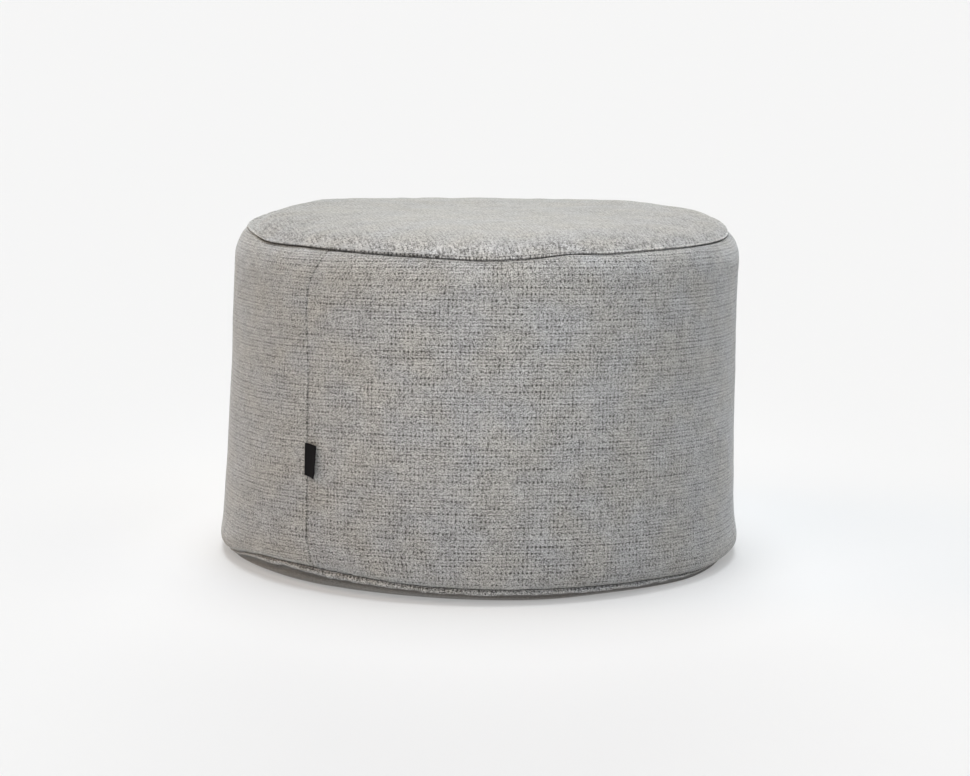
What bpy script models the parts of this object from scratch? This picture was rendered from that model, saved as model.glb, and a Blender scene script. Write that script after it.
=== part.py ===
"""Bean bag footstool: a low round drum of woven cloth, filled with loose beads.

Three cloth panels make the drum: a domed round on top, one strip round the wall and a round
underneath. The strip is closed by one upright seam, which holds a folded label tape.
Metres, +Z up. The origin is the middle of the underside, and -Y is the front.
Azimuths are in degrees round +Z, 0 at the front and positive towards +X.
"""
import math

import bmesh
import bpy
from mathutils import Vector

# Driving dimensions, in metres and degrees
COLUMNS = 96                    # upright columns of faces round every panel
GAP = 0.0003                    # between pieces that touch
MERGE = 0.00005

TOP_SEAM_RADIUS = 0.2420
TOP_SEAM_HEIGHT = 0.3264
TURNED_EDGE_RADII = (0.0022, 0.0019)        # the turned and topstitched edge of the top
TURNED_EDGE_MIDDLE = (TOP_SEAM_RADIUS - 0.0013, TOP_SEAM_HEIGHT + 0.0014)
CROWN_RADIUS = TOP_SEAM_RADIUS - 0.0022     # the line of topstitching
CROWN_FOOT = TOP_SEAM_HEIGHT + 0.0028
CROWN_RISE = 0.0165             # the dome over its line of topstitching
CROWN_FLATNESS = 5.0            # 2 is a round dome, more is flatter with a steeper rim
CROWN_EDGE_POWER = 0.6
CROWN_RINGS = [0.0, 0.22, 0.42, 0.58, 0.70, 0.80, 0.875, 0.93, 0.965, 0.99, 1.0]

SHOULDER_RUN = 0.0130           # the wall leaves the top seam and turns down over this
BELLY_TURN_RUN = 0.0095         # and turns in over this to the bottom seam

BOTTOM_SEAM_HEIGHT = 0.0143
ROLL_RADII = (0.0027, 0.0023)   # the rolled edge under the bottom seam
ROLL_MIDDLE = (0.2540, BOTTOM_SEAM_HEIGHT - ROLL_RADII[1] - GAP)
UNDERTURN_RADIUS = 0.2525       # the bottom panel turns up from the floor to the roll
UNDERTURN_HEIGHT = 0.0092
FOOT_RADIUS = 0.2360            # the flat that stands on the floor

# Where two filled panels meet inside the rim, and how far each stays from the seam's height
MEETING_RINGS = [
    # radius, clearance
    (0.0000, 0.0007),
    (0.1400, 0.0007),
    (0.2050, 0.0006),
    (0.2390, GAP / 2),
]

LEAN = math.tan(math.radians(1.35))         # the drum has settled towards +X
LEAN_START = 0.020

# The wall's radius at each height, from the shoulder down to the belly turn
WALL = [
    # height, radius
    (0.2972, 0.2550),
    (0.2650, 0.2556),
    (0.2350, 0.2560),
    (0.2050, 0.2565),
    (0.1750, 0.2572),
    (0.1500, 0.2579),
    (0.1280, 0.2587),
    (0.1070, 0.2595),
    (0.0860, 0.2603),
    (0.0650, 0.2612),
    (0.0440, 0.2626),
    (0.0290, 0.2633),
]

# How far the top seam rises and sinks round the rim
TOP_SEAM_WAVE = [
    # azimuth, rise
    (-180, -0.0034),
    (-155, -0.0006),
    (-130, 0.0058),
    (-105, 0.0044),
    (-75, 0.0026),
    (-62, -0.0032),
    (-47, -0.0006),
    (-28, 0.0000),
    (-11, -0.0009),
    (0, -0.0032),
    (9, -0.0013),
    (19, 0.0035),
    (27, 0.0008),
    (39, 0.0019),
    (58, 0.0010),
    (79, 0.0003),
    (105, 0.0050),
    (130, 0.0042),
    (155, -0.0014),
    (180, -0.0034),
]

# How far the bottom seam rises and sinks round the rim
BOTTOM_SEAM_WAVE = [
    # azimuth, rise
    (-180, -0.0010),
    (-135, 0.0010),
    (-95, -0.0080),
    (-76, -0.0076),
    (-62, 0.0020),
    (-50, 0.0070),
    (-30, 0.0060),
    (-14, 0.0020),
    (0, 0.0000),
    (26, -0.0018),
    (46, -0.0046),
    (60, -0.0078),
    (100, -0.0082),
    (140, -0.0010),
    (180, -0.0010),
]

# How much further out, or less far, the flat underside reaches round the rim
FOOT_WAVE = [
    # azimuth, reach
    (-180, 0.0000),
    (-130, 0.0000),
    (-88, 0.0050),
    (-68, 0.0010),
    (-50, -0.0030),
    (-32, -0.0080),
    (-16, -0.0090),
    (0, -0.0050),
    (16, 0.0000),
    (30, -0.0030),
    (45, 0.0040),
    (60, 0.0110),
    (100, 0.0110),
    (140, 0.0000),
    (180, 0.0000),
]

# Where the upright seam runs
SIDE_SEAM = [
    # height, azimuth
    (0.0000, -37.0),
    (0.0250, -37.1),
    (0.0370, -37.9),
    (0.0490, -38.7),
    (0.0680, -39.1),
    (0.1450, -40.1),
    (0.2310, -41.1),
    (0.2790, -41.8),
    (0.2930, -41.4),
    (0.3080, -40.0),
    (0.3272, -38.2),
    (0.3600, -38.2),
]
SIDE_SEAM_DEPTH = 0.0020
SIDE_SEAM_HALF_WIDTH = 0.80     # degrees, to the columns on both sides of the seam
GATHER_REACH = 15.0             # degrees over which the columns are drawn to the seam

# Soft hollows of the wall where the beads have settled, and swellings with a negative depth
SETTLING = [
    # azimuth, height, half width in degrees, half height, depth
    (-62, 0.285, 16, 0.050, 0.0020),
    (-24, 0.235, 15, 0.070, 0.0014),
    (-8, 0.110, 20, 0.060, -0.0012),
    (28, 0.190, 18, 0.080, 0.0016),
    (51, 0.305, 5, 0.012, 0.0016),
    (62, 0.100, 16, 0.060, -0.0014),
    (82, 0.022, 30, 0.016, -0.0040),
    (-84, 0.020, 18, 0.010, -0.0025),
    (105, 0.230, 22, 0.070, 0.0018),
    (150, 0.120, 24, 0.070, 0.0016),
    (-160, 0.220, 20, 0.070, 0.0014),
    (-112, 0.120, 20, 0.060, 0.0016),
]

LABEL_REACH = 0.0138            # how far the folded tape stands out of the seam
LABEL_THICKNESS = 0.0005
LABEL_LAYERS_APART = 0.0011     # between the middles of its two layers
LABEL_ROOT = 0.0010             # its layers start this far beside the seam
LABEL_CLEARANCE = 0.0007        # from the wall to the middle of its inner layer
LABEL_FOLD_STEPS = 4
LABEL_ROWS = [
    # height at the seam, droop at the fold, angle off the wall
    (0.1428, 0.0012, 5.0),
    (0.1350, 0.0013, 7.0),
    (0.1270, 0.0014, 10.0),
    (0.1190, 0.0015, 13.0),
    (0.1118, 0.0016, 16.0),
]

COLUMN_STEP = 360.0 / COLUMNS
SEAM_COLUMN_AZIMUTH = 90.0 - 35 * COLUMN_STEP   # the turned columns start at +X


def eased(start, end, value):
    """0 at start, 1 at end, with a soft change between."""
    share = min(max((value - start) / (end - start), 0.0), 1.0)
    return share * share * (3.0 - 2.0 * share)


def read_table(table, value):
    """Second column of a rising table at value, on a smooth curve through its rows."""
    last = len(table) - 2
    index = next((row for row in range(last + 1) if value <= table[row + 1][0]), last)
    before, low = table[max(index - 1, 0)], table[index]
    high, after = table[index + 1], table[min(index + 2, last + 1)]
    width = high[0] - low[0]
    low_slope = (high[1] - before[1]) / (high[0] - before[0]) * width
    high_slope = (after[1] - low[1]) / (after[0] - low[0]) * width
    t = min(max((value - low[0]) / width, 0.0), 1.0)
    return (
        low[1] * (2 * t ** 3 - 3 * t ** 2 + 1)
        + low_slope * (t ** 3 - 2 * t ** 2 + t)
        + high[1] * (3 * t ** 2 - 2 * t ** 3)
        + high_slope * (t ** 3 - t ** 2)
    )


def arc(middle, radii, start, end, steps):
    """Points of an ellipse's arc in the profile plane, as (radius, height)."""
    angles = [math.radians(start + (end - start) * step / steps) for step in range(steps + 1)]
    return [(middle[0] + radii[0] * math.cos(a), middle[1] + radii[1] * math.sin(a)) for a in angles]


def meeting_face(seam_height, side):
    """Half of the hidden joint between two filled panels, from the axis out, above or below it."""
    return [(radius, seam_height + side * clearance) for radius, clearance in MEETING_RINGS]


def crown_height(radius):
    """Height of the domed top at a radius inside its line of topstitching."""
    share = (radius / CROWN_RADIUS) ** CROWN_FLATNESS
    return CROWN_FOOT + CROWN_RISE * (1.0 - share) ** CROWN_EDGE_POWER


# The shape that the beads give to the turned panels

def wall_share(height, radius):
    """1 on the wall's outer face, fading to 0 at both seams and inside the drum."""
    outside = eased(0.80, 0.98, radius / TOP_SEAM_RADIUS)
    above = eased(BOTTOM_SEAM_HEIGHT, BOTTOM_SEAM_HEIGHT + 0.006, height)
    below = 1.0 - eased(TOP_SEAM_HEIGHT - 0.006, TOP_SEAM_HEIGHT, height)
    return outside * above * below


def hollow_depth(azimuth, height):
    """How far the wall sinks in at a place."""
    depth = 0.0
    for middle, level, half_width, half_height, deepest in SETTLING:
        turn = (azimuth - middle + 180.0) % 360.0 - 180.0
        depth += deepest * math.exp(-(turn / half_width) ** 2 - ((height - level) / half_height) ** 2)
    return depth


def seam_rise(azimuth, height, radius):
    """How far a point goes up or down with the seams that wander round the rim."""
    near_top = eased(TOP_SEAM_HEIGHT - 0.080, TOP_SEAM_HEIGHT, height)
    near_bottom = 1.0 - eased(BOTTOM_SEAM_HEIGHT, BOTTOM_SEAM_HEIGHT + 0.080, height)
    near_bottom *= min(height / BOTTOM_SEAM_HEIGHT, 1.0)
    rim = min(radius / TOP_SEAM_RADIUS, 1.0) ** 4
    top = read_table(TOP_SEAM_WAVE, azimuth) * near_top
    bottom = read_table(BOTTOM_SEAM_WAVE, azimuth) * near_bottom
    return (top + bottom) * rim


def foot_reach(azimuth, height, radius):
    """How far the edge of the flat underside moves out at a place."""
    low = 1.0 - min(height / UNDERTURN_HEIGHT, 1.0)
    return read_table(FOOT_WAVE, azimuth) * low * eased(MEETING_RINGS[-2][0], FOOT_RADIUS, radius)


def gathered_azimuth(azimuth, height):
    """Draw the columns in to the upright seam, and bend them to where it runs."""
    away = azimuth - SEAM_COLUMN_AZIMUTH
    if abs(away) >= GATHER_REACH:
        return azimuth
    columns_away = abs(away) / COLUMN_STEP
    shift = read_table(SIDE_SEAM, height) - SEAM_COLUMN_AZIMUTH
    if columns_away <= 1.0:
        return SEAM_COLUMN_AZIMUTH + shift + away / COLUMN_STEP * SIDE_SEAM_HALF_WIDTH
    return azimuth + shift * (1.0 - (columns_away - 1.0) / (GATHER_REACH / COLUMN_STEP - 1.0))


def placed(azimuth, radius, height, settled_height):
    """A point of the leaning drum from its azimuth, radius and height."""
    angle = math.radians(azimuth)
    lean = LEAN * max(height - LEAN_START, 0.0)
    return Vector((radius * math.sin(angle) + lean, -radius * math.cos(angle), settled_height))


def settle(point):
    """Where a point of the turned drum lies in the filled and settled one."""
    radius = math.hypot(point.x, point.y)
    azimuth = math.degrees(math.atan2(point.x, -point.y))
    height = point.z
    rise = seam_rise(azimuth, height, radius)
    radius += foot_reach(azimuth, height, radius)
    on_wall = wall_share(height, radius)
    radius -= hollow_depth(azimuth, height) * on_wall
    if abs(azimuth - SEAM_COLUMN_AZIMUTH) < 0.5 * COLUMN_STEP:
        radius -= SIDE_SEAM_DEPTH * on_wall
    return placed(gathered_azimuth(azimuth, height), radius, height, height + rise)


# Building blocks

def cloth(name, colour, roughness):
    """A plain cloth material."""
    material = bpy.data.materials.new(name)
    material.use_nodes = True
    shader = material.node_tree.nodes["Principled BSDF"]
    shader.inputs["Base Color"].default_value = (*colour, 1.0)
    shader.inputs["Roughness"].default_value = roughness
    shader.inputs["Metallic"].default_value = 0.0
    return material


def finished(mesh, name, collection, material):
    """Put a finished mesh in the scene as a smooth-shaded object."""
    part = bpy.data.objects.new(name, mesh)
    mesh.materials.clear()
    mesh.materials.append(material)
    mesh.shade_smooth()
    mesh.set_sharp_from_angle(angle=math.radians(50))
    collection.objects.link(part)
    return part


def turned_panel(name, profile, collection, material):
    """Turn a profile round +Z, then settle it into the shape of the filled cloth."""
    outline = bpy.data.meshes.new(name + " profile")
    outline.from_pydata(
        [(radius, 0.0, height) for radius, height in profile],
        [(i, i + 1) for i in range(len(profile) - 1)],
        [],
    )
    turning = bpy.data.objects.new(name + " turning", outline)
    collection.objects.link(turning)
    screw = turning.modifiers.new("Turn", "SCREW")
    screw.axis = "Z"
    screw.steps = COLUMNS
    screw.render_steps = COLUMNS
    screw.use_merge_vertices = True
    screw.merge_threshold = MERGE
    evaluated = turning.evaluated_get(bpy.context.evaluated_depsgraph_get())
    mesh = bpy.data.meshes.new_from_object(evaluated)
    mesh.name = name
    bpy.data.objects.remove(turning)
    bpy.data.meshes.remove(outline)
    for vertex in mesh.vertices:
        vertex.co = settle(vertex.co)
    return finished(mesh, name, collection, material)


# The pieces

def top_panel(collection):
    """The domed round, its turned and topstitched edge, and the filling under it."""
    crown = [(share * CROWN_RADIUS, crown_height(share * CROWN_RADIUS)) for share in CROWN_RINGS]
    turned_edge = arc(TURNED_EDGE_MIDDLE, TURNED_EDGE_RADII, 90, -40, 4)
    inside = meeting_face(TOP_SEAM_HEIGHT, 1)[::-1]
    material = cloth("Top cloth", (0.42, 0.41, 0.39), 0.95)
    return turned_panel("top_panel", crown + turned_edge + inside, collection, material)


def side_panel(collection):
    """The wall strip between the seams, with its upright seam, and the filling inside."""
    shoulder_height, shoulder_radius = WALL[0]
    belly_height, belly_radius = WALL[-1]
    shoulder_drop = TOP_SEAM_HEIGHT - GAP / 2 - shoulder_height
    belly_turn_drop = belly_height - BOTTOM_SEAM_HEIGHT - 2 * GAP
    top = meeting_face(TOP_SEAM_HEIGHT, -1)
    shoulder_middle = (shoulder_radius - SHOULDER_RUN, shoulder_height)
    shoulder = arc(shoulder_middle, (SHOULDER_RUN, shoulder_drop), 90, 0, 6)
    wall = [(radius, height) for height, radius in WALL[1:-1]]
    belly_middle = (belly_radius - BELLY_TURN_RUN, belly_height)
    belly_turn = arc(belly_middle, (BELLY_TURN_RUN, belly_turn_drop), 0, -90, 4)
    bottom = meeting_face(BOTTOM_SEAM_HEIGHT, 1)[::-1]
    material = cloth("Side cloth", (0.36, 0.35, 0.33), 0.95)
    profile = top + shoulder + wall + belly_turn + bottom
    return turned_panel("side_panel", profile, collection, material)


def bottom_panel(collection):
    """The round underneath, turned up to a rolled edge at the bottom seam."""
    inside = meeting_face(BOTTOM_SEAM_HEIGHT, -1)
    roll = arc(ROLL_MIDDLE, ROLL_RADII, 90, -60, 5)
    underturn_radii = (UNDERTURN_RADIUS - FOOT_RADIUS, UNDERTURN_HEIGHT)
    underturn = arc((FOOT_RADIUS, UNDERTURN_HEIGHT), underturn_radii, 0, -90, 4)
    floor = [(radius, 0.0) for radius, clearance in MEETING_RINGS[-2::-1]]
    material = cloth("Underside cloth", (0.30, 0.29, 0.27), 0.95)
    return turned_panel("bottom_panel", inside + roll + underturn + floor, collection, material)


def label_path():
    """The folded tape seen from above: distance along the wall, and off it."""
    inner = LABEL_CLEARANCE
    outer = inner + LABEL_LAYERS_APART
    fold_middle = (LABEL_REACH - LABEL_LAYERS_APART / 2, (inner + outer) / 2)
    fold_radii = (LABEL_LAYERS_APART / 2, LABEL_LAYERS_APART / 2)
    fold = arc(fold_middle, fold_radii, -90, 90, LABEL_FOLD_STEPS)
    middle = LABEL_REACH / 2
    return [(LABEL_ROOT, inner), (middle, inner), *fold, (middle, outer), (LABEL_ROOT, outer)]


def label(collection):
    """The tape, folded once, standing out of the upright seam and lying to +X along the wall."""
    radius_by_height = [(height, radius) for height, radius in reversed(WALL)]
    built = bmesh.new()
    rows = []
    for height, droop, lift in LABEL_ROWS:
        azimuth = read_table(SIDE_SEAM, height)
        radius = read_table(radius_by_height, height) - hollow_depth(azimuth, height)
        seam = placed(azimuth, radius, height, height)
        angle = math.radians(azimuth)
        outwards = Vector((math.sin(angle), -math.cos(angle), 0.0))
        along = Vector((math.cos(angle), math.sin(angle), 0.0))
        tilt = math.radians(lift)
        row = []
        for reach, off in label_path():
            side = reach * math.cos(tilt) - off * math.sin(tilt)
            out = reach * math.sin(tilt) + off * math.cos(tilt)
            down = Vector((0.0, 0.0, -droop * reach / LABEL_REACH))
            row.append(built.verts.new(seam + along * side + outwards * out + down))
        rows.append(row)
    for upper, lower in zip(rows, rows[1:]):
        for i in range(len(upper) - 1):
            built.faces.new((upper[i], upper[i + 1], lower[i + 1], lower[i]))
    mesh = bpy.data.meshes.new("label")
    built.to_mesh(mesh)
    built.free()
    part = finished(mesh, "label", collection, cloth("Label tape", (0.012, 0.012, 0.013), 0.7))
    solidify = part.modifiers.new("Tape thickness", "SOLIDIFY")
    solidify.thickness = LABEL_THICKNESS
    solidify.offset = 0.0
    return part


def main():
    """Build the footstool in an empty scene."""
    for old in list(bpy.data.objects):
        bpy.data.objects.remove(old)
    collection = bpy.data.collections.new("Bean bag footstool")
    bpy.context.scene.collection.children.link(collection)
    top_panel(collection)
    side_panel(collection)
    bottom_panel(collection)
    label(collection)


main()
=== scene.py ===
# %% [markdown]
# # Dressing a bean bag footstool
#
# The footstool is a low round drum of woven cloth, filled with loose beads. Its maker cuts a round
# for the top, one long strip for the wall and a round for the underside, sews them together, and
# catches a small folded tape in the wall's upright seam.
#
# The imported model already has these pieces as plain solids, and it stays as it is: it carries the
# weight, the size and the collision. This script puts a finely modelled skin over each solid, with
# its seams, puckers, stitches and weave. Metres, +Z up, and -Y is the front.

import math

import bmesh
import bpy
import numpy as np
from mathutils import Matrix, Vector, noise
from mathutils.bvhtree import BVHTree
from mathutils.kdtree import KDTree


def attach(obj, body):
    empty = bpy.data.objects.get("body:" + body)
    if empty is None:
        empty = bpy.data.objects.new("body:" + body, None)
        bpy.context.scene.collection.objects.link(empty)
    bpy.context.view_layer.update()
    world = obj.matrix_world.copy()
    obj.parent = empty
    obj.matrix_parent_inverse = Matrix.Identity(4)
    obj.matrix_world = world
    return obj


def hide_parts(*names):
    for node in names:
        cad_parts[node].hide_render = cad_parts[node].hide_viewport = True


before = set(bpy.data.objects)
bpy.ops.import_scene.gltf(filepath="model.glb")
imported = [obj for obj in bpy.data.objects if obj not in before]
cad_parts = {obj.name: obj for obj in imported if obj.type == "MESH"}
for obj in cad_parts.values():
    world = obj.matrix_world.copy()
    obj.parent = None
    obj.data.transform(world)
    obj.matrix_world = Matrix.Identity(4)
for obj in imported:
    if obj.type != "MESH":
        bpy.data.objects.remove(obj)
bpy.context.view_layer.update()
print("The packed pieces are", ", ".join(sorted(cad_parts)))

# %% [markdown]
# ## The camera
#
# A low camera with a long lens, a little over two and a half metres away, shows the wall almost
# square on and only a sliver of the top. The camera comes first. It is turned a hair about its own
# axis, as a hand-held one would be.

# %% Place the camera
CAMERA_DISTANCE = 2.704
CAMERA_ELEVATION = math.radians(9.6)
CAMERA_ROLL = math.radians(0.56)
CAMERA_AIM = Vector((0.006, 0.0, 0.164))
LENS = 97.9
SENSOR = 36.0


def put_in(name, data):
    """Put a new object into the scene."""
    made = bpy.data.objects.new(name, data)
    bpy.context.scene.collection.objects.link(made)
    return made


def place_camera():
    forward = Vector((0, math.cos(CAMERA_ELEVATION), -math.sin(CAMERA_ELEVATION)))
    level_up = Vector((0, math.sin(CAMERA_ELEVATION), math.cos(CAMERA_ELEVATION)))
    level_right = Vector((1, 0, 0))
    right = level_right * math.cos(CAMERA_ROLL) + level_up * math.sin(CAMERA_ROLL)
    up = level_up * math.cos(CAMERA_ROLL) - level_right * math.sin(CAMERA_ROLL)
    camera = put_in("camera", bpy.data.cameras.new("camera"))
    camera.data.lens = LENS
    camera.data.sensor_width = SENSOR
    camera.data.clip_end = 200
    turned = Matrix((right, up, -forward)).transposed().to_4x4()
    camera.matrix_world = Matrix.Translation(CAMERA_AIM - forward * CAMERA_DISTANCE) @ turned
    bpy.context.scene.camera = camera


place_camera()
print("The camera stands", CAMERA_DISTANCE, "m from the footstool")

# %% [markdown]
# ## Reading the form from the solids
#
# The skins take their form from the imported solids. A ray is cast at a solid wherever the skin needs
# a point, and the hit says how far out the cloth lies there. The solids are faceted every few
# degrees, so the hits are then smoothed round the drum, which turns the facets into a fair curve.
#
# Azimuths are in degrees round the drum, 0 at the front and positive towards +X.

# %% Ray casts and smoothing
LEAN = math.tan(math.radians(1.35))  # the drum has settled towards +X
LEAN_START = 0.020
FACET_SMOOTHING = 1.9  # degrees


def solid_tree(node):
    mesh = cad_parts[node].data
    corners = [vertex.co for vertex in mesh.vertices]
    return BVHTree.FromPolygons(corners, [face.vertices for face in mesh.polygons])


def axis_shift(height):
    """How far the drum's axis lies towards +X at a height."""
    return LEAN * np.maximum(np.asarray(height, float) - LEAN_START, 0)


def drum_point(azimuth, radius, height):
    """The places at these azimuths, distances from the axis and heights."""
    turn = np.radians(azimuth)
    x = np.sin(turn) * radius + axis_shift(height)
    return np.stack(np.broadcast_arrays(x, -np.cos(turn) * radius, np.asarray(height, float)), axis=-1)


def outwards(azimuth, tilt=0.0):
    """The directions away from the axis at these azimuths, tilted up by an angle."""
    turn = np.radians(azimuth)
    x, y = np.sin(turn) * math.cos(tilt), -np.cos(turn) * math.cos(tilt)
    return np.stack(np.broadcast_arrays(x, y, math.sin(tilt)), axis=-1)


def degrees_from(azimuth, place):
    """How far round from a place an azimuth lies, from -180 to 180."""
    return (azimuth - place + 180) % 360 - 180


def cast(tree, start, direction):
    """How far along its direction each ray goes before it meets the solid."""
    directions = np.broadcast_to(direction, start.shape).reshape(-1, 3)
    hits = []
    for origin, ray in zip(start.reshape(-1, 3), directions):
        hit, _, _, distance = tree.ray_cast(Vector(origin), Vector(ray))
        hits.append(np.nan if hit is None else distance)
    return np.array(hits).reshape(start.shape[:-1])


def fading(sigma, reach):
    """The weights and offsets of an average that fades out on both sides."""
    offsets = np.arange(-reach, reach + 1)
    weights = np.exp(-0.5 * (offsets / sigma) ** 2)
    return zip(weights / weights.sum(), offsets)


def smooth_round(values, degrees, step):
    """Smooth along the last axis, which runs round the drum in even steps."""
    pairs = fading(degrees / step, max(1, int(3 * degrees / step)))
    return sum(weight * np.roll(values, offset, axis=-1) for weight, offset in pairs)


def smooth_down(values, sigma):
    """Smooth along the first axis, which runs down or across the cloth, and hold its two ends."""
    rows = np.arange(len(values))
    return sum(weight * values[np.clip(rows + offset, 0, len(values) - 1)]
               for weight, offset in fading(sigma, int(3 * sigma) + 1))


top_tree, side_tree, bottom_tree = (solid_tree(side + "_panel") for side in ("top", "side", "bottom"))

# %% [markdown]
# ### The two seam lines
#
# Both rounds are sewn to the wall along a seam that rises and sinks a few millimetres round the
# drum. A vertical ray just inside each seam finds its height at every azimuth.

# %% Find the top seam and the bottom seam
TOP_SEAM_RADIUS = 0.2420
BOTTOM_SEAM_RADIUS = 0.2540
SEAM_PROBE = 0.0035  # the rays go this far inside a seam
OVER_SEAM, OVER_DOME, BELOW = 0.4, 0.5, -0.05  # heights at which upright rays start
READING_STEP = 0.5  # degrees
READINGS = np.arange(-180, 180, READING_STEP)
FORM_SMOOTHING = 1.6  # degrees, for the tables below


def read_seam(radius, from_height, direction):
    """The seam's height at every reading, from rays that go down (-1) or up (1)."""
    start = drum_point(READINGS, radius - SEAM_PROBE, np.full(len(READINGS), from_height))
    height = from_height + direction * cast(side_tree, start, np.array((0, 0, direction)))
    return smooth_round(height, FACET_SMOOTHING, READING_STEP)


top_seam_heights = read_seam(TOP_SEAM_RADIUS, OVER_SEAM, -1)
bottom_seam_heights = read_seam(BOTTOM_SEAM_RADIUS, BELOW, 1)


def round_table(azimuth, values):
    """Look up a reading round the drum."""
    return np.interp(degrees_from(azimuth, 0), READINGS, values, period=360)


def form_table(rows):
    """Spread a short table of (azimuth, value, value, ...) smoothly over the readings."""
    places, *columns = np.array(rows, float).T
    spread = [np.interp(READINGS, places, column, period=360) for column in columns]
    return [smooth_round(column, FORM_SMOOTHING, READING_STEP) for column in spread]


TOP_SEAM_FORM = [
    # azimuth, raised mm, dip mm, tight, banded, sloped, slit (its painted shade, which also opens it),
    # stitches (how plain they are, and how strong the painted shade at their holes is)
    (-180, 0, 0.6, 0.4, 0, 0, 0.5, 0),
    (-150, 1, 0.6, 0.2, 0, 0, 0.4, 0),
    (-125, 2.4, 0.4, 0, 0, 0, 0.3, 0),
    (-100, 0, 0.2, 0, 0, 0, 0.1, 0),
    (-80, 0, 0, 0, 0, 0, 0, 0),
    (-71, 0.4, 0, 0.2, 0, 0, 0, 0),
    (-66, 0.8, 0.3, 0.8, 0, 0, 0.4, 0),
    (-62, 1.2, 0.7, 1, 0, 0, 1, 0),
    (-47, 1.2, 0.7, 1, 0, 0, 1, 0),
    (-40, 0.8, 0.7, 0.8, 0.2, 0, 0.9, 0),
    (-33, 0.3, 0.6, 0.5, 0.5, 0, 0.6, 0.1),
    (-27, 0, 0.5, 0.5, 0.5, 0, 0.35, 0.4),
    (-21, -0.3, 0.6, 0.1, 0.9, 0, 0.6, 0.9),
    (-13, -0.2, 0.6, 0, 0.9, 0.1, 0.7, 0.9),
    (-10, 0, 0.6, 0, 0.2, 0.8, 0.6, 0.6),
    (0, 0.9, 0.7, 0, 0, 1, 0.35, 1),
    (5, 1.2, 0.7, 0, 0, 1, 0.30, 1),
    (12, 0, 0.7, 0, 0, 1, 0.4, 1),
    (18, -0.6, 0.6, 0.3, 0.1, 0.5, 0.5, 0.6),
    (24, 0.8, 0.5, 0.1, 0, 0.2, 0.25, 0.1),
    (31, 1, 0.4, 0, 0, 0, 0.12, 0),
    (45, 0.3, 0.4, 0, 0, 0, 0.2, 0),
    (60, 0, 0.4, 0, 0, 0, 0.2, 0),
    (70, 0, 0.4, 0, 0, 0, 0.6, 0),
    (77, 0, 0.1, 0, 0, 0, 0.1, 0),
    (90, 0, 0, 0, 0, 0, 0, 0),
    (108, 1.8, 0.3, 0, 0, 0, 0.2, 0),
    (128, 3, 0.5, 0, 0, 0, 0.4, 0),
    (155, 1.4, 0.5, 0.2, 0, 0, 0.5, 0),
]
(seam_raised, top_dip, edge_tight, edge_banded, edge_sloped,
 slit_shade, stitches_shown) = form_table(TOP_SEAM_FORM)

BOTTOM_SEAM_FORM = [
    # azimuth, dip mm, roll size, painted shade of the line
    (-180, 0.6, 0.9, 0.5), (-90, 0, 0.4, 0), (-66, 0, 0.6, 0), (-52, 0.1, 0.85, 0.1),
    (-42, 0.4, 1.1, 0.3), (-36, 0.6, 1.15, 0.6), (-20, 0.6, 1, 0.6), (5, 0.5, 0.9, 0.5),
    (35, 0.5, 0.85, 0.5), (50, 0.4, 0.7, 0.4), (58, 0.1, 0.4, 0.1), (75, 0, 0.2, 0),
    (100, 0.2, 0.5, 0.2), (140, 0.5, 0.9, 0.5),
]
bottom_dip, roll_size, bottom_shade = form_table(BOTTOM_SEAM_FORM)


def top_seam(azimuth):
    return round_table(azimuth, top_seam_heights + seam_raised / 1000)


def bottom_seam(azimuth):
    return round_table(azimuth, bottom_seam_heights)


for title, heights in (("Top", top_seam_heights), ("Bottom", bottom_seam_heights)):
    print("%s seam at %.1f to %.1f mm" % (title, 1000 * heights.min(), 1000 * heights.max()))

# %% [markdown]
# ## A skin of quads
#
# Every panel is one net of quads that runs round the drum: rows go across the cloth and columns go
# round. A net keeps the cloth's own directions, so the same net can carry a map of the flat cloth,
# in metres, and the weave follows the panel as it was cut. The ends of the net are closed, so the
# skin is a whole body, as the filled panel is.

# %% Make a skin
CLOTH_MAP = "Cloth"  # where a place lies on the flat cloth
SEAM_MAP = "Seam"  # how far along the sewing it lies, and how far from it
SHADE_MAP = "Shade"  # the shade painted in and beside the seams, with a highlight where it is below 0, and how plain the stitches and their painted hole shade are


def net_corners(places):
    """The values at every face corner of a net. places has one column more than the net, because
    the last column of faces ends where the first begins."""
    quads = np.stack([places[:-1, :-1], places[1:, :-1], places[1:, 1:], places[:-1, 1:]], axis=2)
    ends = [np.repeat(places[row, :-1], 3, axis=0) for row in (0, -1)]
    return np.concatenate([quads.reshape(-1, 2), *ends])


def add_piece(name, mesh):
    mesh.polygons.foreach_set("use_smooth", [True] * len(mesh.polygons))
    mesh.update()
    print("%s: %d faces" % (name, len(mesh.polygons)))
    return put_in(name, mesh)


def make_skin(name, points, flat, seam, shade):
    """points[row, column] are the places; flat, seam and shade give the three maps."""
    count = points.shape[0] * points.shape[1]
    vertices = np.concatenate([points.reshape(-1, 3), [points[0].mean(axis=0), points[-1].mean(axis=0)]])
    here = np.arange(count).reshape(points.shape[:2])
    beside = np.roll(here, -1, axis=1)
    faces = np.stack([here[:-1], here[1:], beside[1:], beside[:-1]], axis=-1).reshape(-1, 4).tolist()
    for end, one, two in ((count, here[0], beside[0]), (count + 1, beside[-1], here[-1])):
        faces += [(end, a, b) for a, b in zip(one.tolist(), two.tolist())]
    mesh = bpy.data.meshes.new(name)
    mesh.from_pydata(vertices.tolist(), [], faces)
    for title, places in ((CLOTH_MAP, flat), (SEAM_MAP, seam), (SHADE_MAP, shade)):
        layer = mesh.uv_layers.new(name=title)
        layer.data.foreach_set("uv", net_corners(places).astype(np.float32).ravel())
    return add_piece(name, mesh)


def closed(values):
    """The values of a net with its first column again at the end."""
    return np.concatenate([values, values[:, :1]], axis=1)


def pair(one, other):
    """Two values for every place, as a map holds them."""
    return np.stack(np.broadcast_arrays(one, other), axis=-1)


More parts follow.
